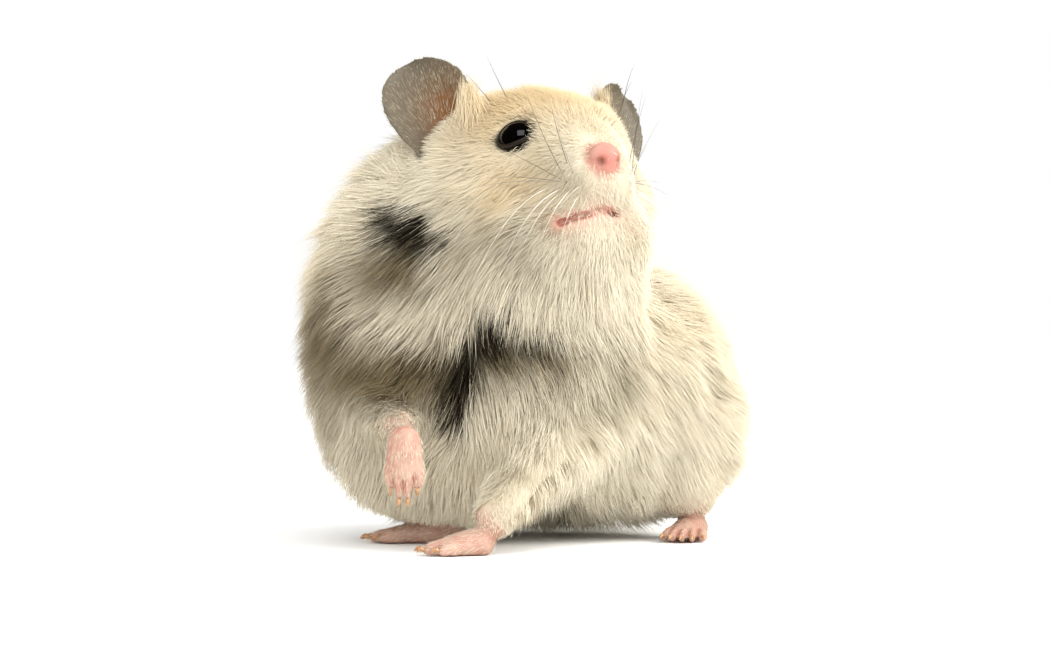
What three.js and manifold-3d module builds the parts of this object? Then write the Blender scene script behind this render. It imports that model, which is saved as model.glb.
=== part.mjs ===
// A Syrian hamster at life size. It stands on its left forefoot, both hind feet and the seat of its rump,
// with the right forepaw held up and the head turned over the left shoulder.
// Millimetres, +Z up. The animal faces -Y, its left side is towards +X, and the floor is z = 0.
// The flesh solids reach to the tips of the coat. Thin gaps part them, so that each is one closed body.
import * as THREE from "three";
import { mergeVertices } from "three/addons/utils/BufferGeometryUtils.js";
import Module from "manifold-3d";

const wasm = await Module();
wasm.setup();

// ---- Driving dimensions ----
const PARTING = 0.36; // gap between neighbouring solids
const EYE_R = 3.3;
const EAR_TALL = 21; // from the root in the coat to the tip
const EAR_HALF = 8.9; // half the greatest width
const EAR_BASE = 0.62; // share of that width at the root
const EAR_WIDEST = 0.58; // share of the height at which the ear is widest
const EAR_THICK = 0.9;
const EAR_CUP = 4.2; // how far the ear's edges stand in front of its middle
const HEAD_AT = [6.9, -9, 67.8]; // middle of the head
const HEAD_YAW = 50; // degrees that the head turns to the animal's left
const HEAD_PITCH = 10; // degrees that the nose is raised
const HEAD_ROLL = 4; // degrees that the left ear hangs below the right one
// Eyes and ears, in the head's own frame. An ear turns outwards, leans out, then tips back, in degrees.
// The left ear is laid further out than the right one.
const EYES = { left: [10.9, -7.6, 6.8], right: [-10.6, -9.2, 6.8] };
const EARS = {
  left: { at: [12.2, 6, 5.4], tip: -4, lean: 34, turn: 24 },
  right: { at: [-15.5, 7, 6], tip: -14, lean: -18, turn: -30 },
};
const NOSE_AT = [0, -22.6, 0.7];
const NOSE_SIZE = [3.3, 2.6, 3.0];
const FORE_TOES = 4;
const HIND_TOES = 5;
const CLAW_FORE = 1.8; // length of a claw past its toe
const CLAW_HIND = 2.2;
const CLAW_R = 0.42;

// ---- Colours ----
const PAINT = {
  coat: material(0xe4dac2, 0.9),
  ear: material(0x8d857b, 0.8),
  bare: material(0xeec3b4, 0.6),
  nose: material(0xe6968a, 0.45),
  eye: material(0x0b0806, 0.08),
  claw: material(0xb98d63, 0.4),
};

function material(color, roughness) {
  return new THREE.MeshStandardMaterial({ color, roughness, metalness: 0 });
}

const rad = THREE.MathUtils.degToRad;
const vec = (p) => new THREE.Vector3(...p);
const mirrored = ([x, y, z]) => [-x, y, z];

// ---- Shapes ----

// Quads between rings of equal size. Each end is closed by a fan to a pole or, where there is no pole,
// by a strip between the two halves of its ring.
function skinOver(rings, startPole, endPole) {
  const sides = rings[0].length;
  const points = rings.flat();
  const faces = [];
  const at = (ring, side) => ring * sides + (side % sides);
  const quad = (a, b, c, d) => faces.push(a, b, c, a, c, d);
  for (let ring = 0; ring + 1 < rings.length; ring++) {
    for (let side = 0; side < sides; side++) {
      quad(at(ring, side), at(ring, side + 1), at(ring + 1, side + 1), at(ring + 1, side));
    }
  }
  const close = (ring, pole, flip) => {
    const start = faces.length;
    if (pole) points.push(pole);
    for (let side = 0; side < (pole ? sides : sides / 2 - 1); side++) {
      if (pole) faces.push(points.length - 1, at(ring, side + 1), at(ring, side));
      else quad(at(ring, side), at(ring, sides - 1 - side), at(ring, sides - 2 - side), at(ring, side + 1));
    }
    if (flip) faces.push(...faces.splice(start).reverse());
  };
  close(0, startPole, false);
  close(rings.length - 1, endPole, true);
  return new THREE.BufferGeometry()
    .setAttribute("position", new THREE.Float32BufferAttribute(points.flatMap((p) => p.toArray()), 3))
    .setIndex(faces);
}

// A body of oval sections along a smooth line. Each station is a centre, a half width and a half height.
// The width lies along +X as far as the line allows. sag fills out the lower corners of the sections of a
// line that runs to +Y, and grow thickens the body all round.
function limb(stations, { sides = 14, steps = 8, sag = 0, grow = 0 } = {}) {
  const line = new THREE.CatmullRomCurve3(stations.map((s) => vec(s.at)), false, "centripetal");
  const sizes = new THREE.CatmullRomCurve3(
    stations.map((s) => new THREE.Vector3(s.wide, s.high, 0)),
    false,
    "centripetal",
  );
  const rings = [];
  for (let step = 0; step <= steps; step++) {
    const t = step / steps;
    const along = line.getTangent(t);
    const across = new THREE.Vector3(1, 0, 0).addScaledVector(along, -along.x).normalize();
    const down = new THREE.Vector3().crossVectors(along, across);
    const { x: wide, y: high } = sizes.getPoint(t);
    const ring = Array.from({ length: sides }, (_, side) => {
      const turn = (2 * Math.PI * side) / sides;
      const [c, s] = [Math.cos(turn), Math.sin(turn)];
      const fullness = 1 - sag * Math.max(0, s);
      return line
        .getPoint(t)
        .addScaledVector(across, (wide + grow) * Math.sign(c) * Math.abs(c) ** fullness)
        .addScaledVector(down, (high + grow) * s);
    });
    rings.push(ring);
  }
  // A pole rounds each end off, a little beyond the last ring.
  const pole = (t, sign) => {
    const { x: wide, y: high } = sizes.getPoint(t);
    return line.getPoint(t).addScaledVector(line.getTangent(t), sign * (0.5 * Math.min(wide, high) + grow));
  };
  return skinOver(rings, pole(0, -1), pole(1, 1));
}

// An ellipsoid: a sphere stretched along the axes.
function bulge(centre, radii, { around = 16, down = 10, grow = 0 } = {}) {
  return new THREE.SphereGeometry(1, around, down)
    .rotateX(Math.PI / 2)
    .scale(...radii.map((r) => r + grow))
    .translate(...centre);
}

// A cupped leaf with a round tip. It stands along +Z, its hollow faces -Y, and its edges curl forward.
function ear(grow = 0) {
  const rows = 7;
  const columns = 3; // from the midline to an edge
  const width = (t) =>
    t < EAR_WIDEST
      ? EAR_BASE + (1 - EAR_BASE) * Math.sin((Math.PI / 2) * (t / EAR_WIDEST))
      : Math.sqrt(Math.max(0.01, 1 - ((t - EAR_WIDEST) / (1 - EAR_WIDEST)) ** 2));
  const rings = Array.from({ length: rows + 1 }, (_, row) => {
    const t = Math.sin((Math.PI / 2) * (row / rows)); // rows crowd towards the round tip
    const z = t * (EAR_TALL + 2 * grow) - grow;
    const bow = (z / EAR_TALL) * (3.7 * (z / EAR_TALL) - 2.2); // the leaf bows forward, and its tip back
    const half = EAR_HALF * width(t);
    const sheet = (sign) =>
      Array.from({ length: 2 * columns + 1 }, (_, column) => {
        const s = column / columns - 1;
        const x = s * (half + grow);
        const cup = EAR_CUP * (x / half) ** 2 * (1 - 0.5 * t);
        const thick = (EAR_THICK / 2) * (1 - 0.35 * Math.abs(s) ** 3) + grow;
        return vec([x, bow - cup + sign * thick, z]);
      });
    return [...sheet(-1), ...sheet(1).reverse()];
  });
  return skinOver(rings);
}

// ---- Solids: booleans on closed meshes ----

function solidOf(geometry) {
  const bare = geometry.clone();
  bare.deleteAttribute("normal");
  bare.deleteAttribute("uv");
  const merged = mergeVertices(bare, 1e-4);
  return new wasm.Manifold(
    new wasm.Mesh({
      numProp: 3,
      vertProperties: merged.attributes.position.array,
      triVerts: new Uint32Array(merged.index.array),
    }),
  );
}

function geometryOf(solid) {
  const mesh = solid.getMesh();
  return new THREE.BufferGeometry()
    .setAttribute("position", new THREE.BufferAttribute(mesh.vertProperties.slice(), 3))
    .setIndex(new THREE.BufferAttribute(mesh.triVerts.slice(), 1));
}

const joined = (geometries) => geometries.map(solidOf).reduce((sum, next) => sum.add(next));

// The largest closed body of a solid, without the slivers that a cut may leave.
const largest = (solid) =>
  solid.decompose().reduce((best, next) => (next.volume() > best.volume() ? next : best));

// Everything above the floor, so that what is pressed onto the floor gets a flat sole.
const SPAN = 400; // more than the size of the animal, for the blocks that cut it
const ROOM = solidOf(new THREE.BoxGeometry(SPAN, SPAN, SPAN).translate(0, 0, SPAN / 2));

// ---- The scene graph ----

const hamster = new THREE.Group();
const head = new THREE.Group();
head.position.set(...HEAD_AT);
head.rotation.set(rad(-HEAD_PITCH), rad(HEAD_ROLL), rad(HEAD_YAW), "ZXY");
hamster.add(head);
hamster.updateMatrixWorld(true);

function addMesh(parent, name, geometry, paint) {
  const mesh = new THREE.Mesh(geometry, paint);
  mesh.name = name;
  parent.add(mesh);
  return mesh;
}

// A shape that is drawn in a mesh's own frame, as a solid in the body's frame.
function inBody(mesh, geometry) {
  mesh.updateWorldMatrix(true, false);
  return solidOf(geometry.clone().applyMatrix4(mesh.matrixWorld));
}

// ---- Torso, neck and head, first as one solid ----

const SHOULDERS = [
  { at: [1, -8, 77], wide: 14, high: 13 },
  { at: [-4, -6.5, 68.5], wide: 22, high: 18 },
  { at: [-7.5, -6, 60], wide: 30, high: 23 },
  { at: [-9, -5, 50], wide: 34.5, high: 25 },
  { at: [-9.5, -3, 39], wide: 35.5, high: 27 },
  { at: [-9, 1, 27], wide: 36, high: 27.5 },
  { at: [-8, 5, 18], wide: 33, high: 25 },
  { at: [-7, 8, 11], wide: 24, high: 18 },
];
const BARREL = [
  { at: [-6, -2, 33], wide: 30, high: 24 },
  { at: [-5, 12, 32], wide: 37, high: 28.5 },
  { at: [-3.5, 25, 30], wide: 37.5, high: 29 },
  { at: [-2, 37, 27.6], wide: 35, high: 28.8 },
  { at: [-1, 47, 24], wide: 29, high: 26 },
  { at: [-1, 55.5, 19], wide: 18.5, high: 16.5 },
  { at: [-2, 61, 15], wide: 8, high: 7 },
];
const RUFF = [[3.4, -11.5, 56], [27, 19.5, 16.4]];

// Head sections from the nose back to the nape, in the head's own frame.
const SKULL = [
  { at: [0, -23.2, 0.6], wide: 3.2, high: 3.0 },
  { at: [0, -20.5, 0], wide: 6.2, high: 6.0 },
  { at: [0, -15.5, 0.8], wide: 9.4, high: 9.4 },
  { at: [0, -9, 3.2], wide: 13.2, high: 12.8 },
  { at: [0, -1, 4.6], wide: 18, high: 16 },
  { at: [0, 8, 4.4], wide: 20.5, high: 17 },
  { at: [0, 16, 2], wide: 19, high: 15.5 },
  { at: [0, 23, -1], wide: 12, high: 10 },
];
const MUZZLE_PAD = [[3.9, -17.4, -3.0], [5.0, 5.6, 4.8]];
const CHIN = [[0, -14.6, -9.6], [5.8, 5.6, 3.8]];
const CHEEKS = [[0, 2, -2.2], [24.6, 17, 15.2]];

const small = { around: 9, down: 6 };
const skull = joined([
  limb(SKULL, { sides: 18, steps: 10 }),
  bulge(...CHEEKS, { around: 18, down: 9 }),
  bulge(...CHIN, small),
  bulge(...MUZZLE_PAD, small),
  bulge(mirrored(MUZZLE_PAD[0]), MUZZLE_PAD[1], small),
]);
let flesh = joined([
  limb(SHOULDERS, { sides: 24, steps: 9 }),
  limb(BARREL, { sides: 24, steps: 9, sag: 0.4 }),
  bulge(...RUFF, { around: 18, down: 10 }),
]);
flesh = flesh.add(inBody(head, geometryOf(skull))).intersect(ROOM);

// ---- Legs ----

// The upper part of each leg is an ellipsoid, and the lower part a limb down to the wrist or ankle.
const LEGS = {
  foreleg_left: {
    upper: [[11, -11, 29], [13, 11.5, 13]],
    lower: [
      { at: [13.4, -15, 24], wide: 12.5, high: 9.5 },
      { at: [11, -21.5, 17], wide: 10.6, high: 7.8 },
      { at: [7.4, -27.6, 10.8], wide: 7.4, high: 5.6 },
      { at: [4.4, -31.2, 5.4], wide: 4.4, high: 3.8 },
    ],
  },
  foreleg_right: {
    upper: [[-23, -12, 37], [11, 11, 12]],
    lower: [
      { at: [-23.5, -19, 34], wide: 9.6, high: 9 },
      { at: [-19.5, -26, 30], wide: 8, high: 7.2 },
      { at: [-15, -31, 26.6], wide: 6.2, high: 5.4 },
      { at: [-11.6, -34.2, 22.8], wide: 4.8, high: 4.2 },
    ],
  },
  hindleg_left: {
    upper: [[22.5, 24, 22], [15.5, 16, 18]],
    lower: [
      { at: [25, 26, 15], wide: 9.5, high: 10.5 },
      { at: [26.2, 25.4, 9.6], wide: 5.8, high: 6.6 },
      { at: [26.4, 24, 5.4], wide: 3.7, high: 4.2 },
    ],
  },
  hindleg_right: {
    upper: [[-26, 9, 19], [15, 17, 16.4]],
    lower: [
      { at: [-23, 2.5, 13.5], wide: 10, high: 9 },
      { at: [-18.6, -1.6, 9.4], wide: 6.8, high: 5.8 },
      { at: [-14.4, -4, 6.2], wide: 4.6, high: 4 },
    ],
  },
};

const legShape = ({ upper, lower }, grow = 0) =>
  joined([bulge(...upper, { around: 12, down: 8, grow }), limb(lower, { sides: 10, steps: 4, grow })]);

// Feet: at is the point of the floor under the wrist or ankle, and heading turns the toes from -Y to +X.
// A foot in its own frame points along -Y with its sole on z = 0, and droop turns its toes down.
const FEET = {
  forefoot_left: {
    leg: "foreleg_left", at: [3.2, -31.8, 0], heading: -60, toes: FORE_TOES, long: 7, fan: 13,
  },
  forefoot_right: {
    leg: "foreleg_right", at: [-10, -35.4, 20.6], heading: 12, droop: 76,
    toes: FORE_TOES, long: 7, fan: -3,
  },
  hindfoot_left: {
    leg: "hindleg_left", at: [26.4, 24, 0], heading: 8, toes: HIND_TOES, long: 9.5, fan: 7,
  },
  hindfoot_right: {
    leg: "hindleg_right", at: [-14.6, -4.6, 0], heading: -76, toes: HIND_TOES, long: 10, fan: 9,
  },
};
const PALM_HALF = 3.7;
const TOE_LENGTH = { [FORE_TOES]: 4.4, [HIND_TOES]: 5.2 };

// Toes fan out from the front of the palm, and the outer ones are shorter. Each has its line and its tip.
function toesOf({ toes, long, fan }) {
  const outermost = (toes - 1) / 2;
  return Array.from({ length: toes }, (_, k) => {
    const place = k - outermost;
    const outer = (place / outermost) ** 2;
    const angle = rad(place * fan);
    const reach = TOE_LENGTH[toes] * (1 - 0.2 * outer);
    const root = [(place / outermost) * (PALM_HALF - 0.9), -long + 1.4 * outer + 0.6];
    const along = (d, z) => [root[0] + d * Math.sin(angle), root[1] - d * Math.cos(angle), z];
    return {
      angle,
      tip: along(reach + 0.5 + PARTING, 1.05),
      line: [
        { at: along(0, 1.5), wide: 1.15, high: 1.5 },
        { at: along(0.5 * reach, 1.5), wide: 1.05, high: 1.4 },
        { at: along(reach, 0.95), wide: 0.85, high: 0.95 },
      ],
    };
  });
}

function footShape(foot, grow = 0) {
  const heel = foot.toes === FORE_TOES ? 1.6 : 3.4;
  const palm = [
    { at: [0, heel, 2.2], wide: PALM_HALF * 0.62, high: 2.3 },
    { at: [0, 0, 2.5], wide: PALM_HALF * 0.86, high: 2.7 },
    { at: [0, -foot.long * 0.55, 2.0], wide: PALM_HALF * 0.96, high: 2.2 },
    { at: [0, -foot.long, 1.5], wide: PALM_HALF, high: 1.6 },
  ];
  const toes = toesOf(foot).map((toe) => limb(toe.line, { sides: 6, steps: 2, grow }));
  return joined([limb(palm, { sides: 9, steps: 4, grow }), ...toes]).intersect(ROOM.translate([0, 0, -grow]));
}

// A claw curves down a little from its root to a point above the sole.
function claw(length) {
  return limb(
    [
      { at: [0, 0.2, 0.1], wide: CLAW_R, high: CLAW_R },
      { at: [0, -0.5 * length, 0.1], wide: 0.7 * CLAW_R, high: 0.75 * CLAW_R },
      { at: [0, -length, -0.45], wide: 0.2 * CLAW_R, high: 0.24 * CLAW_R },
    ],
    { sides: 5, steps: 2 },
  );
}

const legSolids = Object.fromEntries(Object.entries(LEGS).map(([name, leg]) => [name, legShape(leg)]));
for (const [name, foot] of Object.entries(FEET)) {
  const paw = new THREE.Group();
  paw.position.set(...foot.at);
  paw.rotation.set(rad(foot.droop ?? 0), 0, rad(foot.heading), "ZYX");
  hamster.add(paw);
  const sole = addMesh(paw, name, geometryOf(footShape(foot)), PAINT.bare);
  const socket = inBody(sole, geometryOf(footShape(foot, PARTING)));
  legSolids[foot.leg] = legSolids[foot.leg].subtract(socket);
  flesh = flesh.subtract(socket);
  toesOf(foot).forEach((toe, k) => {
    const length = foot.toes === FORE_TOES ? CLAW_FORE : CLAW_HIND;
    const nail = addMesh(paw, `claw_${name}_${k + 1}`, claw(length), PAINT.claw);
    nail.position.set(...toe.tip);
    nail.rotation.z = toe.angle;
  });
}
for (const [name, leg] of Object.entries(LEGS)) {
  flesh = flesh.subtract(legShape(leg, PARTING));
  addMesh(hamster, name, geometryOf(largest(legSolids[name].intersect(ROOM))), PAINT.coat);
}

// ---- Eyes, ears, nose and tail ----

const eyeball = (r) => new THREE.SphereGeometry(r, 12, 8);
for (const [side, { at, tip, lean, turn }] of Object.entries(EARS)) {
  const eye = addMesh(head, `eye_${side}`, eyeball(EYE_R), PAINT.eye);
  eye.position.set(...EYES[side]);
  flesh = flesh.subtract(inBody(eye, eyeball(EYE_R + PARTING)));

  const leaf = addMesh(head, `ear_${side}`, ear(), PAINT.ear);
  leaf.position.set(...at);
  leaf.rotation.set(rad(tip), rad(lean), rad(turn));
  flesh = flesh.subtract(inBody(leaf, ear(PARTING)));
}

const noseShape = (grow) => bulge([0, 0, 0], NOSE_SIZE, { around: 10, down: 7, grow });
const nose = addMesh(head, "nose", noseShape(0), PAINT.nose);
nose.position.set(...NOSE_AT);
flesh = flesh.subtract(inBody(nose, noseShape(PARTING)));

const TAIL = [
  { at: [-2, 57, 14], wide: 2.7, high: 2.7 },
  { at: [-2.3, 62, 11.5], wide: 2.1, high: 2.1 },
  { at: [-3, 66.5, 8.6], wide: 1.4, high: 1.4 },
  { at: [-3.6, 69, 6.8], wide: 0.8, high: 0.8 },
];
const tailShape = (grow) => limb(TAIL, { sides: 8, steps: 5, grow });
addMesh(hamster, "tail", tailShape(0), PAINT.bare);
flesh = flesh.subtract(solidOf(tailShape(PARTING)));

// ---- Thin cuts part the flesh into head, neck, chest and rump ----

// The two sides of a cut: a plane through a point, tilted about X and turned about Z, in degrees.
function sidesOf({ at, tilt, turn }) {
  return [1, -1].map((sign) =>
    solidOf(
      new THREE.BoxGeometry(SPAN, SPAN, SPAN)
        .translate(0, 0, (sign * (SPAN + PARTING)) / 2)
        .rotateX(rad(tilt))
        .rotateZ(rad(turn))
        .translate(...at),
    ),
  );
}

const THROAT = { at: [4, -4, 56], tilt: 18, turn: 35 };
const SHOULDER_LINE = { at: [-4, -2, 45], tilt: 26, turn: 6 };
const WAIST = { at: [-4, 18, 30], tilt: 90, turn: 0 };
const [overThroat, underThroat] = sidesOf(THROAT);
const [overShoulders, underShoulders] = sidesOf(SHOULDER_LINE);
const [beforeWaist, behindWaist] = sidesOf(WAIST);
const body = flesh.intersect(underThroat);
const trunk = body.intersect(underShoulders);
const parts = {
  head: flesh.intersect(overThroat),
  neck: body.intersect(overShoulders),
  chest: trunk.intersect(beforeWaist),
  rump: trunk.intersect(behindWaist),
};
for (const [name, part] of Object.entries(parts)) {
  addMesh(hamster, name, geometryOf(largest(part)), PAINT.coat);
}

// ---- The origin: the middle of the whole box, on the floor ----

const box = new THREE.Box3().setFromObject(hamster, true);
const middle = box.getCenter(new THREE.Vector3());
hamster.position.set(-middle.x, -middle.y, -box.min.z);

export default hamster;
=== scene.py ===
"""A Syrian hamster, life size: it stands on three feet and the underside of its rump,
with the right forepaw raised and the head turned to its left.
The skin is one surface, and the coat is tufts of solid hairs that root in it."""
import math

import bpy
import numpy as np
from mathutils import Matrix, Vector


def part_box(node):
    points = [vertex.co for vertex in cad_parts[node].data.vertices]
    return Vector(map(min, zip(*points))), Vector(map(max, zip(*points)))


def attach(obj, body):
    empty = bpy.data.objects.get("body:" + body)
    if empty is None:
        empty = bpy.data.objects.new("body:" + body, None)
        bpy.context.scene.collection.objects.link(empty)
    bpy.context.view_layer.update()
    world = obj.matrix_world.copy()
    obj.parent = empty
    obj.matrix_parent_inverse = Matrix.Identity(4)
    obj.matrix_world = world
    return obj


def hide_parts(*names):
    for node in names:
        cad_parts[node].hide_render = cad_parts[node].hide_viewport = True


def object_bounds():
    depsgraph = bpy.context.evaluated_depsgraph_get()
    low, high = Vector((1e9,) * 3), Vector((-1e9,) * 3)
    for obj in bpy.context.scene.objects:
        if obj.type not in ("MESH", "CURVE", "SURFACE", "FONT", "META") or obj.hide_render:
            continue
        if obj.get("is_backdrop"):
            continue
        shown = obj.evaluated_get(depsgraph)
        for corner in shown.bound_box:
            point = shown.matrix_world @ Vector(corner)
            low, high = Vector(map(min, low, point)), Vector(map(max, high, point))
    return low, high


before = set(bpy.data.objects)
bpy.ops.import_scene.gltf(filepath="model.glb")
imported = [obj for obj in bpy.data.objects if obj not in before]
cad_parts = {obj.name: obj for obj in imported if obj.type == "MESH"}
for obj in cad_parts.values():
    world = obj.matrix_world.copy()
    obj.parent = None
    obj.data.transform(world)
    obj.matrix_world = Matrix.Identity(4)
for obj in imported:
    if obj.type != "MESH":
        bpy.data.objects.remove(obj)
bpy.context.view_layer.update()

MM = 0.001
scene = bpy.context.scene

# --- Floor, light and camera ---------------------------------------------------------
# A white paper sweep under the animal in a white room, one large soft light from the right
# and another from the front, and a level camera at the height of the animal's chest.

VIEW_TURN = math.radians(20)     # the camera stands this far round towards the animal's left
VIEW_DISTANCE, VIEW_HEIGHT = 600 * MM, 42 * MM
LENS = 107.0                     # mm, on a 36 mm wide sensor
AIM = (3.6 * MM, -14.0 * MM)     # the upright line that the camera looks at


def linear(code):
    """An sRGB hex colour as linear red, green, blue and 1: ((c + 0.055) / 1.055) ^ 2.4 above the toe."""
    c = np.array([int(code[i:i + 2], 16) for i in (1, 3, 5)]) / 255
    toe = c <= 0.04045
    return tuple(np.where(toe, c / 12.92, ((c + 0.055) / 1.055) ** 2.4)) + (1.0,)


def material(name):
    """A new material's node tree, with its Principled shader."""
    made = bpy.data.materials.new(name)
    made.use_nodes = True
    return made, made.node_tree.nodes["Principled BSDF"]


def put(mat, kind, settings):
    """Adds one node, or takes the one given. A setting is an input's value or the socket to link to it."""
    made = mat.node_tree.nodes.new(kind) if isinstance(kind, str) else kind
    for key, value in settings.items():
        if isinstance(value, bpy.types.NodeSocket):
            mat.node_tree.links.new(value, made.inputs[key])
        elif isinstance(key, str) and hasattr(made, key):
            setattr(made, key, value)
        else:
            made.inputs[key].default_value = value
    return made


def mesh_object(name, points, faces, mat, smooth=True):
    """An object from an array of points and one array of equal-sided faces."""
    mesh = bpy.data.meshes.new(name)
    sides = faces.shape[1]
    mesh.vertices.add(len(points))
    mesh.vertices.foreach_set("co", np.ascontiguousarray(points, np.float32).ravel())
    mesh.loops.add(faces.size)
    mesh.loops.foreach_set("vertex_index", np.ascontiguousarray(faces, np.int32).ravel())
    mesh.polygons.add(len(faces))
    mesh.polygons.foreach_set("loop_start", np.arange(len(faces), dtype=np.int32) * sides)
    mesh.polygons.foreach_set("use_smooth", np.full(len(faces), smooth))
    mesh.update(calc_edges=True)
    if mat:
        mesh.materials.append(mat)
    made = bpy.data.objects.new(name, mesh)
    scene.collection.objects.link(made)
    return made


# Matt white paper: plain and bright, so that the animal and its soft shadow stand alone.
PAPER_GRAIN = 900.0              # specks in a metre
paper, shader = material("white_paper_sweep")
coords = put(paper, "ShaderNodeTexCoord", {})
fibre = put(paper, "ShaderNodeTexNoise", {"Scale": PAPER_GRAIN, "Vector": coords.outputs["Object"]})
shade = put(paper, "ShaderNodeMixRGB", {"Fac": fibre.outputs["Fac"], "Color1": linear("#FAFAF8"),
                                        "Color2": linear("#FFFFFF")})
put(paper, shader, {"Base Color": shade.outputs["Color"], "Roughness": 0.9, "Specular IOR Level": 0.1})
FLOOR_HALF = 3.0                 # m
floor = mesh_object("floor", FLOOR_HALF * np.array([(-1.0, -1, 0), (1, -1, 0), (1, 1, 0), (-1, 1, 0)]),
                    np.array([(0, 1, 2, 3)]), paper)
floor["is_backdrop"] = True
floor.visible_glossy = False      # keeps the eyes dark

world = bpy.data.worlds.new("white_room")
world.use_nodes = True
ROOM_LIGHT, ROOM_SEEN = 1.15, 1.0       # how bright the room is as a light, and as a backdrop
ray = put(world, "ShaderNodeLightPath", {})
level = put(world, "ShaderNodeMapRange", {"Value": ray.outputs["Is Camera Ray"], "To Min": ROOM_LIGHT,
                                          "To Max": ROOM_SEEN})
# The room gives no shine, so that the eyes stay dark.
matt = put(world, "ShaderNodeMapRange", {"Value": ray.outputs["Is Glossy Ray"],
                                         "To Min": level.outputs["Result"], "To Max": 0.0})
backdrop = world.node_tree.nodes["Background"]
put(world, backdrop, {"Color": linear("#FFFFFF"), "Strength": matt.outputs["Result"]})
scene.world = world
scene.view_settings.view_transform = "Standard"

aim = np.array([*AIM, VIEW_HEIGHT])
LAMP_AWAY = 0.7                  # m along the floor from the aim
# Each lamp: its name, how far round it stands in degrees, its height over the aim in m, its watts, and
# its side in m.
LAMPS = [("key_light", 100, 0.5, 8.0, 0.6), ("window", 24, 0.55, 3.4, 0.55)]
for name, azimuth, height, power, size in LAMPS:
    lamp = bpy.data.lights.new(name, "AREA")
    lamp.energy = power
    lamp.size = size
    light = bpy.data.objects.new(name, lamp)
    turn = math.radians(azimuth)
    light.location = aim + np.array([LAMP_AWAY * math.sin(turn), -LAMP_AWAY * math.cos(turn), height])
    light.rotation_euler = (-(light.location - type(light.location)(aim))).to_track_quat("-Z", "Y").to_euler()
    scene.collection.objects.link(light)

camera = bpy.data.objects.new("camera", bpy.data.cameras.new("camera"))
camera.data.lens = LENS
camera.data.sensor_width = 36.0
camera.data.clip_start = 0.01
camera.location = (AIM[0] + VIEW_DISTANCE * math.sin(VIEW_TURN), AIM[1] - VIEW_DISTANCE * math.cos(VIEW_TURN),
                   VIEW_HEIGHT)
camera.rotation_euler = (math.pi / 2, 0, VIEW_TURN)
scene.collection.objects.link(camera)
scene.camera = camera

# --- Skin ----------------------------------------------------------------------------
# The hide over the whole animal: head, trunk, limbs, tail, feet, ears and nose in one
# piece. It lies under the outline by the depth of the coat, and is bare on feet and nose.

SIDES = ("left", "right")
FEET = [f"{limb}foot_{side}" for limb in ("fore", "hind") for side in SIDES]
EARS = [f"ear_{side}" for side in SIDES]
TRUNK = (["head", "neck", "chest", "rump", "tail"]
         + [f"{limb}leg_{side}" for limb in ("fore", "hind") for side in SIDES])
COARSE, FINE = 0.8 * MM, 0.36 * MM      # the grid of the body's first remesh, and of the whole skin's
SKIN_SHARE = 0.36                # how much of the fine mesh is kept where the shape is plain


def read(mesh):
    """A mesh's points and its faces' corners as arrays, for a mesh of all triangles or all quads."""
    points = np.zeros(len(mesh.vertices) * 3, np.float32)
    mesh.vertices.foreach_get("co", points)
    corners = np.zeros(len(mesh.loops), np.int32)
    mesh.loops.foreach_get("vertex_index", corners)
    return points.reshape(-1, 3).astype(float), corners.reshape(len(mesh.polygons), -1)


def solid(name):
    """A CAD node's points, merged, and its triangles."""
    points, faces = read(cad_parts[name].data)
    _, first, back = np.unique(np.round(points / (0.002 * MM)).astype(int), axis=0,
                               return_index=True, return_inverse=True)
    return points[first], back.ravel()[faces]


def unit(v):
    """The rows as unit vectors."""
    return v / (np.linalg.norm(v, axis=-1, keepdims=True) + 1e-12)


def normals_of(points, faces):
    """Unit normals at the points: the sum of the cross products of each face's diagonals or sides."""
    a, b, c, d = (points[faces[:, i]] for i in (0, 1, 2, -1))
    across = np.cross(c - a, d - b)
    sums = [sum(np.bincount(faces[:, i], across[:, k], len(points)) for i in range(faces.shape[1]))
            for k in range(3)]
    return unit(np.stack(sums, 1))


STILL = 0.002                    # a share of the way too small to be worth moving a point


def relaxed(points, faces, rounds, amount):
    """Each point moves towards the mean of its neighbours, by its amount, as often as rounds says."""
    ends = np.concatenate([faces[:, [i, (i + 1) % faces.shape[1]]] for i in range(faces.shape[1])])
    step = np.broadcast_to(np.asarray(amount, float), (len(points),))
    step = np.where(step > STILL, step, 0)
    a, b = np.concatenate([ends, ends[:, ::-1]]).T
    moving = step[a] > 0
    a, b, step = a[moving], b[moving], step[:, None]
    count = np.maximum(np.bincount(a, minlength=len(points)), 1)[:, None]
    for _ in range(rounds):
        mean = np.stack([np.bincount(a, points[b, k], len(points)) for k in range(3)], 1) / count
        points = points + step * (mean - points)
    return points


def finished(name, points, faces, kind, **settings):
    """The points and triangles after one modifier."""
    made = mesh_object(name, points, faces, None)
    modifier = made.modifiers.new(kind.lower(), kind)
    for key, value in settings.items():
        setattr(modifier, key, value)
    mesh = bpy.data.meshes.new_from_object(made.evaluated_get(bpy.context.evaluated_depsgraph_get()))
    points, faces = read(mesh)
    bpy.data.objects.remove(made)
    bpy.data.meshes.remove(mesh)
    if faces.shape[1] == 4:
        faces = np.concatenate([faces[:, [0, 1, 2]], faces[:, [0, 2, 3]]])
    return points, faces


def together(parts):
    """Several (points, faces) pairs as one."""
    starts = np.cumsum([0] + [len(p) for p, _ in parts])
    faces = [f + start for (_, f), start in zip(parts, starts)]
    return np.concatenate([p for p, _ in parts]), np.concatenate(faces)


def middle(name):
    """The middle of a CAD node's box."""
    low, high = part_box(name)
    return np.array((low + high) / 2)


def spot(name, x, y, z):
    """The point at these shares of a CAD node's box, from its lowest corner to its highest."""
    low, high = map(np.array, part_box(name))
    return low + (high - low) * (x, y, z)


def ease(value, low, high):
    """0 below low, 1 above high, and 3t^2 - 2t^3 between them."""
    t = np.clip((value - low) / (high - low), 0, 1)
    return t * t * (3 - 2 * t)


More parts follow.
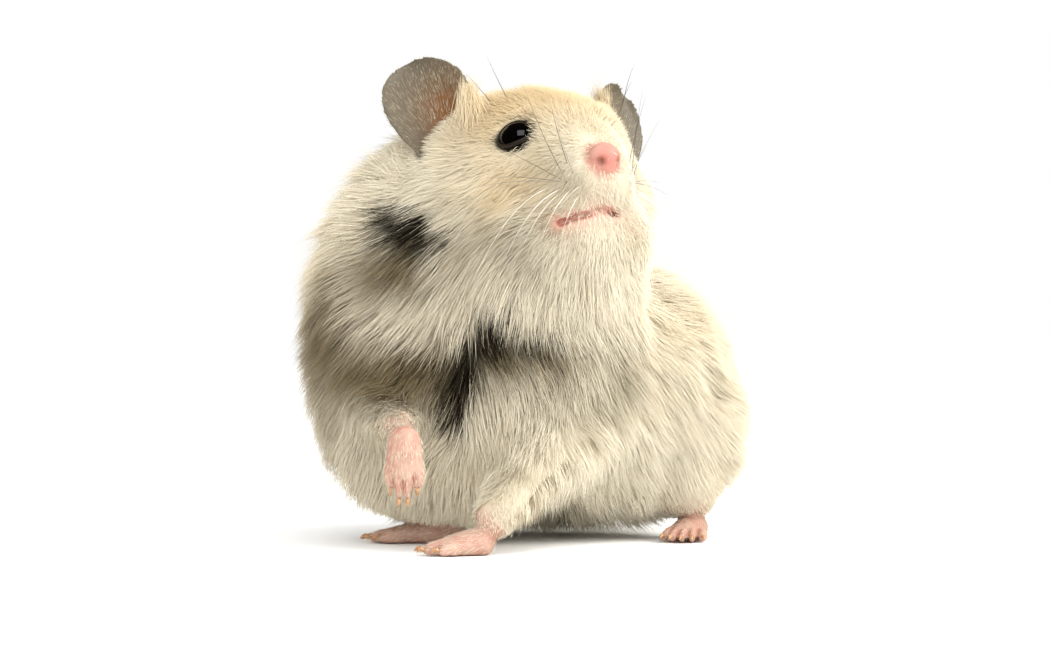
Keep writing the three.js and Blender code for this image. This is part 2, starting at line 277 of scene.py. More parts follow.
def bell(gap, width):
    """exp(-(gap / width)^2): 1 at no gap, falling off to both sides."""
    return np.exp(-((gap / width) ** 2))


def blob(points, centre, half):
    """exp(-d^2), d being the distance from the centre in half sizes, which are in mm along x, y and z."""
    return np.exp(-(((points - centre) / (np.array(half) * MM)) ** 2).sum(1))


REACH = 18 * MM                  # no gap wider than this matters anywhere
AT_ONCE = 4000                   # points compared with a cloud in one go
IN_MM = 1000                     # small floats are most exact in millimetres


def apart(points, *clouds, reach=REACH):
    """The distance from each point to the nearest point of any cloud. Past the reach of a cloud's box it is
    the distance to the box."""
    out = np.full(len(points), np.inf)
    for cloud in map(np.atleast_2d, clouds):
        outside = np.maximum(np.maximum(cloud.min(0) - points, points - cloud.max(0)), 0)
        gap = np.linalg.norm(outside, axis=1)
        near = np.nonzero(gap < np.minimum(out, reach))[0]
        for part in np.array_split(near, len(near) // AT_ONCE + 1):
            p = points[part].astype(np.float32) * IN_MM
            c = cloud.astype(np.float32) * IN_MM
            squares = (p * p).sum(1)[:, None] + (c * c).sum(1) - 2 * p @ c.T
            gap[part] = np.sqrt(np.maximum(squares.min(1), 0)) / IN_MM
        out = np.minimum(out, gap)
    return out


def thinned(points, spacing):
    """One point of the cloud for each cube of the spacing's side."""
    _, first = np.unique(np.round(points / spacing).astype(int), axis=0, return_index=True)
    return points[first]


def line(corners, count=40):
    """Points evenly along a chain of corners."""
    corners = np.array(corners)
    ends = np.concatenate([[0], np.cumsum(np.linalg.norm(np.diff(corners, axis=0), axis=1))])
    return np.stack([np.interp(np.linspace(0, ends[-1], count), ends, corners[:, k]) for k in range(3)], 1)


CLOUD = 0.5 * MM                 # the spacing of the points that stand for a small part
small = {name: finished("small", *solid(name), "SUBSURF", levels=2, render_levels=2)
         for name in FEET + EARS + ["nose"]}
clouds = {name: thinned(points, CLOUD) for name, (points, _) in small.items()}
clouds["tail"] = solid("tail")[0]
feet, ears = [clouds[name] for name in FEET], [clouds[name] for name in EARS]
nose_at = middle("nose")
eye_at = {side: middle("eye_" + side) for side in SIDES}
HEAD_TURN = math.radians(50)      # how far the head is turned to its left
forward = np.array([math.sin(HEAD_TURN), -math.cos(HEAD_TURN), 0])
across = np.array([math.cos(HEAD_TURN), math.sin(HEAD_TURN), 0])      # from the right of the head to its left
NOSE_AHEAD, NOSE_ABOVE = 20.5 * MM, 3 * MM         # of the middle of the skull
head_at = nose_at - NOSE_AHEAD * forward - NOSE_ABOVE * np.array([0, 0, 1])


def mirrored(p):
    """The same place on the other side of the head."""
    return p - 2 * ((p - nose_at) @ across)[..., None] * across


def eye_frame(side):
    """An eye's unit ways: out of the head, along the slant of its opening, and across the slant."""
    look = unit(eye_at[side] - head_at)
    slant = unit(forward * 0.8 + np.array([0, 0, 0.6]))
    slant = unit(slant - (slant @ look) * look)
    return look, slant, np.cross(look, slant)


LIP = ((0.80, 0.08, 0.31), (0.84, 0.12, 0.34), (0.88, 0.14, 0.365), (0.893, 0.17, 0.378))
lip = line([spot("head", *share) for share in LIP])
lips = np.concatenate([lip, mirrored(lip)])
nostril = spot("nose", 0.54, 0.06, 0.40)
nostrils = np.stack([nostril, mirrored(nostril)])
groove = line([nose_at + forward * 3.2 * MM - np.array([0, 0, 1.4 * MM]), (lip[-1] + mirrored(lip[-1])) / 2])


def claw_line(node):
    """A claw's root, the end nearer its foot, and the unit way from its tip to its root."""
    points = solid(node)[0]
    axis = np.linalg.svd(points - points.mean(0), full_matrices=False)[2][0]
    ends = [points[(points @ axis).argmin()], points[(points @ axis).argmax()]]
    foot = middle("_".join(node.split("_")[1:3]))
    ends.sort(key=lambda end: np.linalg.norm(end - foot))
    return ends[0], unit(ends[0] - ends[1])


CLAWS = {"fore": 4, "hind": 5}
CREASE_LONG, CREASE_HIGH, CREASE_DEEP = 4.6 * MM, 3 * MM, 0.75 * MM
creases = []                     # between toes: a start, the way back into the foot, and the way across
for foot in FEET:
    toes = [claw_line(f"claw_{foot}_{k + 1}") for k in range(CLAWS[foot[:4]])]
    for (root_a, back_a), (root_b, back_b) in zip(toes, toes[1:]):
        back = unit(back_a + back_b)
        over = root_b - root_a
        creases.append(((root_a + root_b) / 2, back, unit(over - (over @ back) * back)))


def in_crease(points, half):
    """1 along the creases between the toes, falling off across them by exp(-(gap / half)^2)."""
    total = np.zeros(len(points))
    for start, back, over in creases:
        v = points - start
        along, rise = v @ back, v @ np.cross(back, over)
        window = ease(along, -0.6 * MM, 0) * (1 - ease(along, 0.6 * CREASE_LONG, CREASE_LONG))
        total = np.maximum(total, window * (np.abs(rise) < CREASE_HIGH) * bell(v @ over, half))
    return total


COAT_DEPTH = 4.2 * MM
CROWN = (72 * MM, 82 * MM)       # the heights over which the coat thins to half on top of the head
far_cheek = spot("head", 0.93, 0.61, 0.44)
# Where the coat is thin: the places, the depth there, and the two distances over which it deepens, in mm.
THIN = [([clouds["nose"]], 0.2, 0.5, 16), ([lips], 0.3, 1.0, 12), ([clouds["tail"]], 0.3, 0.5, 8),
        (feet, 0.2, 0.5, 15), (ears, 0.8, 0.5, 11), (list(eye_at.values()), 0.7, 3.5, 17),
        ([far_cheek, mirrored(far_cheek)], 2.2, 2, 13)]


def coat_depth(points):
    """The depth of the coat: its full depth, eased down to each thin place's own depth near it."""
    depth = np.full(len(points), COAT_DEPTH)
    for places, least, low, high in THIN:
        near = ease(apart(points, *places), low * MM, high * MM)
        depth = np.minimum(depth, least * MM + (COAT_DEPTH - least * MM) * near)
    crown = ease(points[:, 2], *CROWN)
    return np.minimum(depth, COAT_DEPTH * (1 - 0.5 * crown))


SWELL = 0.3 * MM                 # closes the partings between the solids
LESS_SUNK = 1.4 * MM             # on the outside of the body's bend, where the coat lies flattest
ELBOW, WRIST = 9 * MM, 2.6 * MM  # how far from each joint the hide is smoothed
WRIST_FULL = 0.7 * MM            # how much the fur fills out a forefoot's wrist
FOOT_FULL = 0.12 * MM            # how much the toes are filled out again after the remeshing
# The trunk's solids become one closed body, which is smoothed and sinks in by the depth of the coat.
flesh = together([solid(name) for name in TRUNK])
flesh = (flesh[0] + normals_of(*flesh) * SWELL, flesh[1])
points, faces = finished("flesh", *flesh, "REMESH", mode="VOXEL", voxel_size=COARSE)
slack = ease(apart(points, *feet, clouds["nose"], lips), 0.3 * MM, 8 * MM)
points = relaxed(points, faces, 40, 0.12 + 0.4 * slack)
elbows = np.stack([spot("foreleg_left", 0.93, 0.35, 0.42), spot("foreleg_right", 0.15, 0.35, 0.30)])
points = relaxed(points, faces, 200, 0.5 * bell(apart(points, elbows), ELBOW))
stretched = ease(points[:, 0], 12 * MM, 30 * MM) * ease(points[:, 2], 14 * MM, 28 * MM) * slack
sunk = coat_depth(points) + SWELL * slack - LESS_SUNK * stretched
points = points - normals_of(points, faces) * sunk[:, None]
points = relaxed(points, faces, 12, 0.1 + 0.4 * slack)
# The feet, ears and nose join it in a finer mesh, and each wrist is smoothed into its leg.
points, faces = finished("whole", *together([(points, faces), *small.values()]),
                         "REMESH", mode="VOXEL", voxel_size=FINE)
points = relaxed(points, faces, 5, 0.4)
WRIST_POINTS = 40                # a wrist is at the mean of this many of the foot's points, nearest the leg
wrists = []
for foot in FEET:
    cloud = clouds[foot]
    order = np.argsort(np.linalg.norm(cloud - middle(foot.replace("foot", "leg")), axis=1))
    wrists.append(cloud[order[:WRIST_POINTS]].mean(0))
points = relaxed(points, faces, 50, 0.5 * bell(apart(points, np.stack(wrists), reach=8 * MM), WRIST))
n = normals_of(points, faces)
fore_gap = apart(points, np.stack(wrists[:2]), reach=8 * MM)
points = points + n * (WRIST_FULL * bell(fore_gap, 2.4 * MM))[:, None]
foot_near = 1 - ease(apart(points, *feet, reach=2 * MM), 0.3 * MM, 1.5 * MM)
points = points + n * (FOOT_FULL * foot_near)[:, None]
lip_gap = apart(points, lips)
nose_front = nose_at + forward * 1.6 * MM
# The nose and lips swell, then the mouth, the nostrils and the groove under the nose are pressed in.
# Each has its gap, and how deep and how wide it is in mm.
for gap, deep, wide in ((apart(points, nose_front), -0.5, 2.8), (lip_gap, -0.4, 2.0), (lip_gap, 1.9, 0.62),
                        (apart(points, nostrils), 1.9, 0.62), (apart(points, groove), 0.7, 0.45)):
    points = points - n * (deep * MM * bell(gap, wide * MM))[:, None]
points = points - n * (CREASE_DEEP * in_crease(points, 0.33 * MM))[:, None]
points[:, 2] = np.maximum(points[:, 2], 0)

# Plain parts keep fewer triangles than feet, ears and face. The unwrap then places the tufts' patches.
skin = mesh_object("skin", points, faces, None)
plain = ease(apart(points, *feet, *ears, clouds["nose"], lips, reach=4 * MM), 0.6 * MM, 3 * MM)
group = skin.vertex_groups.new(name="plain")
group.add(np.nonzero(plain > 0.5)[0].tolist(), 1.0, "REPLACE")
modifier = skin.modifiers.new("decimate", "DECIMATE")
modifier.ratio = SKIN_SHARE
modifier.vertex_group = "plain"
modifier.vertex_group_factor = 1.0
bpy.context.view_layer.objects.active = skin
skin.select_set(True)
bpy.ops.object.modifier_apply(modifier="decimate")
skin.vertex_groups.clear()
skin.data.uv_layers.new(name="OFBake")
bpy.ops.object.mode_set(mode="EDIT")
bpy.ops.mesh.select_all(action="SELECT")
bpy.ops.mesh.quads_convert_to_tris()
bpy.ops.uv.smart_project(angle_limit=math.radians(60), island_margin=0.002)
bpy.ops.object.mode_set(mode="OBJECT")
skin.select_set(False)
skin_points, skin_faces = read(skin.data)
skin_normals = normals_of(skin_points, skin_faces)
skin_uv = np.zeros(len(skin.data.loops) * 2, np.float32)
skin.data.uv_layers["OFBake"].data.foreach_get("uv", skin_uv)
skin_uv = skin_uv.reshape(-1, 3, 2)

# --- Markings ------------------------------------------------------------------------
# The colours lie on skin and coat alike: cream, golden over the back, flank and crown,
# a grey-brown band across the chest, a near-black flash on each cheek, and pink bare skin.
# Painted shade darkens the chest's crease, the ruff under the chin and the left side.

# Each mark: its node, its place as shares of the node's box, its half sizes in mm, its strength.
FLASH = [("head", (0.28, 0.09, 0.34), (5, 9, 3.0), 1.3), ("head", (0.35, 0.05, 0.28), (5, 9, 3.8), 1.5),
         ("head", (0.42, 0.03, 0.22), (4.6, 9, 2.8), 1.1)]
# The near-black crease down the chest: partly dark fur, partly painted shade in the crease.
CREASE_FUR_AND_SHADE = [("chest", (0.52, 0.05, 0.43), (2.4, 10, 6), 1.0), ("chest", (0.545, 0.02, 0.55), (4.2, 10, 4), 1.1),
          ("neck", (0.61, 0.02, 0.15), (4.6, 10, 3.2), 1.0), ("neck", (0.66, 0.04, 0.29), (3, 10, 3.4), 0.9),
          ("neck", (0.46, 0.01, 0.06), (6, 10, 2.2), 0.7), ("neck", (0.76, 0.06, 0.19), (6, 10, 2.4), 1.1),
          ("chest", (0.38, 0.10, 0.46), (6, 10, 2.6), 0.8), ("chest", (0.61, 0.76, 0.04), (6, 9, 3.5), 0.9)]
# The grey-brown band across the chest. The grey on the left side is partly grey fur, partly painted shade,
# and the grey on the ruff under the chin is painted shade.
BAND_AND_SHADE = [("foreleg_right", (0.42, 0.16, 0.42), (10, 12, 6), 0.85),
        ("neck", (0.42, 0.01, 0.02), (9, 12, 5.5), 0.8),
        ("chest", (0.50, 0.01, 0.54), (8, 12, 6.5), 0.85), ("neck", (0.66, 0.04, 0.16), (8, 12, 5.5), 0.8),
        ("neck", (0.80, 0.10, 0.12), (8, 12, 4.5), 0.7), ("chest", (0.88, 0.39, 0.56), (3.5, 9, 6), 0.5),
        ("neck", (0.16, 0.12, 0.30), (9, 18, 10), 0.75), ("neck", (0.34, 0.02, 0.62), (9, 12, 6), 0.5),
        ("chest", (0.10, 0.30, 0.55), (9, 16, 13), 0.6), ("head", (0.67, 0.04, 0.27), (6, 9, 4), 0.35),
        ("head", (0.32, 0.08, 0.12), (8, 10, 4.5), 0.5), ("head", (0.54, 0.04, 0.24), (6, 8, 4), 0.35),
        ("head", (0.84, 0.06, 0.50), (4, 6, 3), 0.4), ("neck", (0.74, 0.04, 0.60), (8, 10, 5), 0.35),
        ("neck", (0.46, 0.01, 0.55), (9, 10, 6), 0.35), ("foreleg_left", (0.75, 0.40, 0.62), (8, 10, 7), 0.3),
        ("head", (0.79, 0.07, 0.29), (3.4, 6, 2.4), 0.5)]
GOLD = [("head", (0.66, 0.07, 0.48), (9, 9, 6), 0.7), ("head", (0.54, 0.21, 0.82), (9, 12, 8), 0.6),
        ("head", (0.74, 0.40, 0.95), (16, 18, 9), 1.0), ("chest", (0.98, 0.88, 0.80), (10, 20, 10), 0.35),
        ("neck", (0.10, 0.35, 0.55), (12, 22, 22), 0.25)]


def strength(points, marks, twins=False):
    """The sum of the marks' soft blobs, held at 1. Twins adds their mirror images."""
    total = np.zeros(len(points))
    for node, share, half, weight in marks:
        centre = spot(node, *share)
        for place in [centre, mirrored(centre)] if twins else [centre]:
            total += weight * blob(points, place, half)
    return np.minimum(total, 1)


def ripple(points, size, seed):
    """A smooth field from about -1 to 1: a sum of sines along ten random directions, a size in mm across."""
    rng = np.random.default_rng(seed)
    ways = rng.normal(size=(3, 10))
    ways *= rng.uniform(0.6, 1.5, 10) / np.linalg.norm(ways, axis=0) / (size * MM) * math.pi
    return np.sin(points @ ways + rng.uniform(0, 6.3, 10)).sum(1) / 3.2


EYE_HALF = np.ptp(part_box("eye_right"), axis=0).max() / 2


def eye_rims(points):
    """1 close round the eyes, falling to 0 away from them. The rim is widest at the ends of the slant."""
    total = np.zeros(len(points))
    for side in SIDES:
        v = points - eye_at[side]
        look, slant, rise = eye_frame(side)
        round_eye = np.sqrt((v @ slant / 1.3) ** 2 + (v @ rise) ** 2 + (v @ look / 1.3) ** 2) / EYE_HALF
        total = np.maximum(total, 1 - ease(round_eye, 0.9, 1.25))
    return total


def markings(points):
    """How dark, how grey and how golden the coat is at each point, from 0 to 1. The dark and grey also hold
    painted shade in the chest's crease, under the chin and on the left side.
    """
    wave = 0.10 * ripple(points, 4, 3)
    behind = ease(points[:, 1], -12 * MM, 10 * MM) * ease(points[:, 2], 18 * MM, 45 * MM)
    dark = strength(points, FLASH, twins=True) + strength(points, CREASE_FUR_AND_SHADE) + 0.85 * eye_rims(points) + wave
    grey_and_shade = np.maximum(strength(points, BAND_AND_SHADE), 0.15 * behind) + wave
    gold = np.maximum(strength(points, GOLD), 0.2 * behind) + wave
    return ease(dark, 0.3, 1.0), np.clip(grey_and_shade, 0, 1), np.clip(gold, 0, 1)


def paint(mesh, name, values):
    """Stores three arrays as a colour at each point."""
    layer = mesh.attributes.new(name, "FLOAT_COLOR", "POINT")
    colours = np.stack([*values, np.ones(len(values[0]))], 1)
    layer.data.foreach_set("color", colours.astype(np.float32).ravel())


def channels(mat, name):
    """The three parts of a stored colour, as sockets."""
    stored = put(mat, "ShaderNodeAttribute", {"attribute_name": name})
    parts = put(mat, "ShaderNodeSeparateColor", {"Color": stored.outputs["Color"]})
    return [parts.outputs[part] for part in ("Red", "Green", "Blue")]


def layered(mat, colour, layers):
    """Lays colours over one another, each by its share."""
    for share, code in layers:
        mix = put(mat, "ShaderNodeMixRGB", {"Fac": share, "Color1": colour, "Color2": linear(code)})
        colour = mix.outputs["Color"]
    return colour


CREAM, GOLDEN, UNDERFUR = "#E3DAC4", "#DCC59B", "#C6BBA0"
GREY_BROWN, NEAR_BLACK = "#726448", "#151006"


def coat_colour(mat, root_share):
    """Cream, then golden, grey-brown and near-black by the marks, which hold some painted shade, and the
    underfur's grey by its share.
    """
    dark, grey_and_shade, gold = channels(mat, "marks")
    return layered(mat, linear(CREAM), [(gold, GOLDEN), (root_share, UNDERFUR), (grey_and_shade, GREY_BROWN),
                                        (dark, NEAR_BLACK)])


# Living hide: matt and pale under the fur, pink and finely blotched where it is bare,
# grey on the ears. Pores about 0.3 mm apart give the bare parts a soft, broken shine.
hide, hide_shader = material("hide")
pink, ear_grey, inner = channels(hide, "bare")
coords = put(hide, "ShaderNodeTexCoord", {})
BLOTCH, PORE = 2.5 * MM, 0.35 * MM
blotch = put(hide, "ShaderNodeTexNoise", {"Scale": 1 / BLOTCH, "Detail": 3.0,
                                          "Vector": coords.outputs["Object"]})
pores = put(hide, "ShaderNodeTexNoise", {"Scale": 1 / PORE, "Detail": 2.0,
                                         "Vector": coords.outputs["Object"]})
spread = put(hide, "ShaderNodeMapRange", {"Value": blotch.outputs["Fac"], "From Min": 0.35, "From Max": 0.7})
flush = layered(hide, linear("#C49F8C"), [(spread.outputs["Result"], "#B58371")])
mix = put(hide, "ShaderNodeMixRGB", {"Fac": pink, "Color1": coat_colour(hide, 0.1), "Color2": flush})
colour = layered(hide, mix.outputs["Color"], [(ear_grey, "#5E5545"), (inner, "#754717")])
# The red of nose and lips is the skin's own. The dark red in nostrils and mouth and the darker red in the
# creases between the toes are painted shade.
red_share, slit_shade, toe_crease_shade = channels(hide, "deep")
colour = layered(hide, colour, [(red_share, "#C4665A"), (toe_crease_shade, "#B9705F"), (slit_shade, "#5A1C15")])
bump = put(hide, "ShaderNodeBump", {"Height": pores.outputs["Fac"], "Strength": 0.25, "Distance": 0.1 * MM})
put(hide, hide_shader, {"Base Color": colour, "Roughness": 0.5, "Specular IOR Level": 0.35,
                        "Normal": bump.outputs["Normal"]})
skin.data.materials.append(hide)

foot_gap = apart(skin_points, *feet)
ear_gap = apart(skin_points, *ears)
nose_gap = apart(skin_points, clouds["nose"])
lip_gap = apart(skin_points, lips)
tail_gap = apart(skin_points, clouds["tail"])
skin_depth = coat_depth(skin_points)
bare_pink = np.maximum.reduce([1 - ease(foot_gap, 0.8 * MM, 6.5 * MM), 1 - ease(nose_gap, 0.6 * MM, 2.0 * MM),
                               0.7 * (1 - ease(lip_gap, 1.5 * MM, 6.0 * MM)),
                               1 - ease(tail_gap, 0.5 * MM, 3 * MM)])
on_ear = 1 - ease(ear_gap, 0.6 * MM, 1.6 * MM)
inner_side = np.zeros(len(skin_points))
for side, way in (("left", 1), ("right", -1)):
    bowl = spot("ear_" + side, 0.5, 0.5, 0.5) - way * across * 3.0 * MM
    facing = ease(skin_normals @ unit(forward + 0.4 * way * across), -0.1, 0.4)
    inner_side += facing * blob(skin_points, bowl, (5, 5, 6.5))
nose_tip = nose_at + forward * 2.5 * MM
red = np.maximum.reduce([0.8 * bell(np.linalg.norm(skin_points - nose_tip, axis=1), 3.0 * MM),
                         0.7 * bell(lip_gap, 1.15 * MM), 0.8 * bell(apart(skin_points, groove), 0.6 * MM)])
# Painted shade in the nostrils and along the mouth's slit.
deep = np.maximum(bell(apart(skin_points, nostrils), 0.75 * MM), bell(lip_gap, 0.6 * MM))
paint(skin.data, "marks", markings(skin_points))
paint(skin.data, "bare", [bare_pink, on_ear, np.clip(inner_side * on_ear, 0, 1)])
# The red of nose, lips and groove, then the painted shade of nostrils, mouth and toe creases.
paint(skin.data, "deep", [red, deep, 0.7 * in_crease(skin_points, 0.4 * MM)])
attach(skin, "root")
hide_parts(*TRUNK, *FEET, *EARS, "nose")

# --- Eyes ----------------------------------------------------------------------------
# Bulging, wet, almost black eyes, each a clear cornea over a dark iris, held by a thin
# rim of bare dark lid that slants down towards the cheek.

EYE_ROWS, EYE_COLUMNS = 24, 36
LID_ROUND, LID_SECTION = 48, 10
LID_THICK = 0.42 * MM
LID_OPEN, LID_SLANT = 58, 7      # the opening's half angle in degrees, and what its corners add
EYE_SET = 0.8 * MM               # how far the eyes are set back into the skin
ALMOND = 1.14                    # how much longer an eye is along its slant


def almond(angle, turn, look, slant, rise):
    """The point of a unit ball at an angle from the look and a turn about it, drawn out along the slant."""
    return (np.cos(angle)[..., None] * look + (np.sin(angle) * np.cos(turn))[..., None] * slant * ALMOND
            + (np.sin(angle) * np.sin(turn))[..., None] * rise)


def fans(rings, columns, close):
    """Triangles between rings of points, each ring wrapped round. Closed ends fan to the two pole points that
    follow the rings. Otherwise the last ring joins the first."""
    r, c = np.meshgrid(np.arange(rings - 1), np.arange(columns), indexing="ij")
    a, b = r * columns + c, r * columns + (c + 1) % columns
    sides = [np.stack([a, b, b + columns], 2).reshape(-1, 3),
             np.stack([a, b + columns, a + columns], 2).reshape(-1, 3)]
    i = np.arange(columns)
    j = (i + 1) % columns
    last = (rings - 1) * columns
    if close:
        sides += [np.stack([np.full(columns, rings * columns), j, i], 1),
                  np.stack([np.full(columns, rings * columns + 1), last + i, last + j], 1)]
    else:
        sides += [np.stack([last + i, last + j, j], 1), np.stack([last + i, j, i], 1)]
    return np.concatenate(sides)


# A wet cornea over a dark iris: near black, with a sharp small shine, and a faint painted sheen where it
# turns away from view.
eye_wet, shader = material("wet_dark_eye")
facing = put(eye_wet, "ShaderNodeLayerWeight", {"Blend": 0.35})
iris_with_rim_sheen = put(eye_wet, "ShaderNodeMixRGB", {"Fac": facing.outputs["Facing"], "Color1": linear("#030202"),
                                         "Color2": linear("#0E0A07")})
put(eye_wet, shader, {"Base Color": iris_with_rim_sheen.outputs["Color"], "Roughness": 0.05, "IOR": 1.38,
                      "Specular IOR Level": 0.5})
# Bare dark skin: a thin, half-matt line that sets the eye off from the cream coat.
LID_GRAIN = 0.4 * MM
lid_skin, shader = material("dark_lid_skin")
coords = put(lid_skin, "ShaderNodeTexCoord", {})
grain = put(lid_skin, "ShaderNodeTexNoise", {"Scale": 1 / LID_GRAIN, "Vector": coords.outputs["Object"]})
tone = put(lid_skin, "ShaderNodeMixRGB", {"Fac": grain.outputs["Fac"], "Color1": linear("#15100C"),
                                          "Color2": linear("#33281E")})
put(lid_skin, shader, {"Base Color": tone.outputs["Color"], "Roughness": 0.4})
for side in SIDES:
    low, high = map(np.array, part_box("eye_" + side))
    look, slant, rise = eye_frame(side)
    centre, radius = (low + high) / 2 - EYE_SET * look, (high - low).max() / 2
    tilt, turn = np.meshgrid(np.linspace(0, math.pi, EYE_ROWS + 2)[1:-1],
                             np.linspace(0, 2 * math.pi, EYE_COLUMNS, endpoint=False), indexing="ij")
    shell = almond(tilt, turn, look, slant, rise)
    ball = np.concatenate([shell.reshape(-1, 3), [look, -look]]) * radius + centre
    eye = mesh_object("eyeball_" + side, ball, fans(EYE_ROWS, EYE_COLUMNS, True)[:, ::-1], eye_wet)
    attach(eye, "root")
    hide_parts("eye_" + side)
    # The lid: a ring of round section, its opening longer along the slant than across it.
    turn, section = np.meshgrid(np.linspace(0, 2 * math.pi, LID_ROUND, endpoint=False),
                                np.linspace(0, 2 * math.pi, LID_SECTION, endpoint=False), indexing="ij")
    edge = almond(np.radians(LID_OPEN + LID_SLANT * np.cos(2 * turn)), turn, look, slant, rise)
    outward = unit(edge - (edge @ look)[..., None] * look)
    outward = unit(outward - (outward * edge).sum(-1, keepdims=True) * edge)
    round_edge = np.cos(section)[..., None] * 0.5 * edge + np.sin(section)[..., None] * outward
    ring = centre + edge * radius + LID_THICK * round_edge
    lid = mesh_object("eyelid_" + side, ring.reshape(-1, 3), fans(LID_ROUND, LID_SECTION, False), lid_skin)
    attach(lid, "root")

# --- Claws ---------------------------------------------------------------------------
# Small curved horn claws, brown where thick and paler at the tip, rounded from the
# model's own claws, which they replace.

# Horn in fine bands from brown to pale, smooth enough to shine a little.
HORN_BAND = 0.8 * MM
horn, shader = material("claw_horn")
coords = put(horn, "ShaderNodeTexCoord", {})
bands = put(horn, "ShaderNodeTexNoise", {"Scale": 1 / HORN_BAND, "Detail": 2.0,
                                         "Vector": coords.outputs["Object"]})
tone = put(horn, "ShaderNodeMixRGB", {"Fac": bands.outputs["Fac"], "Color1": linear("#8A5530"),
                                      "Color2": linear("#D9AE82")})
put(horn, shader, {"Base Color": tone.outputs["Color"], "Roughness": 0.3})
CLAW_SUNK = 0.35 * MM            # how far a claw's root is set back into its toe
CLAW_LONG, CLAW_WIDE = 0.72, 1.5        # shares of its solid's size, as the rounding below thins it
for foot in FEET:
    for number in range(1, CLAWS[foot[:4]] + 1):
        node = f"claw_{foot}_{number}"
        root, back = claw_line(node)
        claw, sides = solid(node)
        out = ((claw - root) @ back)[:, None] * back
        claw = root + CLAW_LONG * out + CLAW_WIDE * (claw - root - out) + back * CLAW_SUNK
        claw, sides = finished("claw", claw, sides, "SUBSURF", levels=1, render_levels=1)
        made = mesh_object("horn_" + node, claw, sides, horn)
        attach(made, "root")
        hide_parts(node)

# --- Coat ----------------------------------------------------------------------------
# Fine hairs in small locks, long on ruff, chest and flanks and short on face and legs.
# Each rises out of the skin, lies back from nose and neck, and thins to its tip.

neck_at = middle("neck") + np.array([6, -4, 8]) * MM
parting = line([spot("neck", 0.67, 0.03, 0.26), spot("neck", 0.61, 0.02, 0.14),
                spot("chest", 0.55, 0.02, 0.56), spot("chest", 0.53, 0.04, 0.47),
                spot("chest", 0.51, 0.06, 0.39)])
PARTED, QUIFF = 5 * MM, 4 * MM   # how far the parting and the locks before the ears turn the hair
quiff = spot("head", 0.485, 0.25, 0.80)                # where a lock stands up before each ear
quiffs = np.stack([quiff, mirrored(quiff)])


def comb(points, normals):
    """The lie of the coat along the skin: away from the nose on the head, elsewhere away from the neck and
    down, and out to both sides along the parting of the chest."""
    from_nose, from_neck = unit(points - nose_at), unit(points - neck_at)
    on_head = 1 - ease(np.linalg.norm(points - head_at, axis=1), 20 * MM, 32 * MM)
    way = from_nose * on_head[:, None] + from_neck * (1 - on_head)[:, None]
    way += np.array([0, 0.15, -0.35])
    way += 0.22 * np.stack([ripple(points, 9, seed) for seed in (11, 12, 13)], 1)
    way += 0.13 * np.stack([ripple(points, 3.5, seed) for seed in (14, 15, 16)], 1)
    near = bell(apart(points, parting), PARTED)[:, None]
    side = np.tanh((points - parting.mean(0)) @ (1, 0.2, 0) / (2 * MM))[:, None] * np.array([1, 0.2, -0.35])
    way = way * (1 - 0.6 * near) + 0.7 * near * side
    near = bell(apart(points, quiffs), QUIFF)[:, None]
    way = way * (1 - near) + near * np.array([0, 0.2, 1.0])
    return unit(way - (way * normals).sum(1, keepdims=True) * normals)


def hair_length(points, depth):
    """The length of the hair in metres: 0.8 mm on bare parts, and more with the depth of the coat and in the
    ruff."""
    thick = depth / COAT_DEPTH
    ruff = np.exp(-((np.linalg.norm(points - neck_at, axis=1) / (30 * MM)) ** 4))
    stand = bell(apart(points, quiffs), QUIFF)
    uneven = 1 + 0.16 * ripple(points, 4, 21)
    return (0.8 + 8.2 * thick ** 1.2 * uneven + 2.4 * thick * ruff + 1.5 * stand) * MM


FLOOR_GAP = 0.05 * MM            # no hair comes closer to the floor


def spindles(paths, ups, widths, girths, flat=0.4):
    """Closed hairs with three sides: each starts and ends in a point of its path, with a ring across the
    path at each point between. A ring's radius is half the width times the girth, and flat squeezes it."""
    count, stops = paths.shape[:2]
    rings = stops - 2
    corners = np.radians([90, 210, 330])
    body = [paths[:, 0]]
    for k in range(1, stops - 1):
        along = unit(paths[:, k + 1] - paths[:, k - 1])
        side = unit(np.cross(along, ups))
        up = np.cross(side, along)
        for c in corners:
            out = math.cos(c) * side + flat * math.sin(c) * up
            body.append(paths[:, k] + out * (widths * girths[k - 1] / 2)[:, None])
    body.append(paths[:, -1])
    last = 3 * rings + 1
    pattern = [(0, 1 + (i + 1) % 3, 1 + i) for i in range(3)]
    for r in range(rings - 1):
        for i in range(3):
            a, b = 1 + 3 * r + i, 1 + 3 * r + (i + 1) % 3
            pattern += [(a, b, b + 3), (a, b + 3, a + 3)]
    pattern += [(last, last - 3 + i, last - 3 + (i + 1) % 3) for i in range(3)]
    points = np.stack(body, 1)
    points[..., 2] = np.maximum(points[..., 2], FLOOR_GAP)
    faces = np.arange(count)[:, None, None] * (last + 1) + np.array(pattern)
    return points.reshape(-1, 3), faces.reshape(-1, 3)


PATCH = 0.0028                   # a lock's patch on the unwrap, of the whole side
ROOTED = 0.5 * MM                # how deep a hair starts under the skin
MARK_SCATTER = 1.2 * MM          # how raggedly one colour of coat gives way to the next


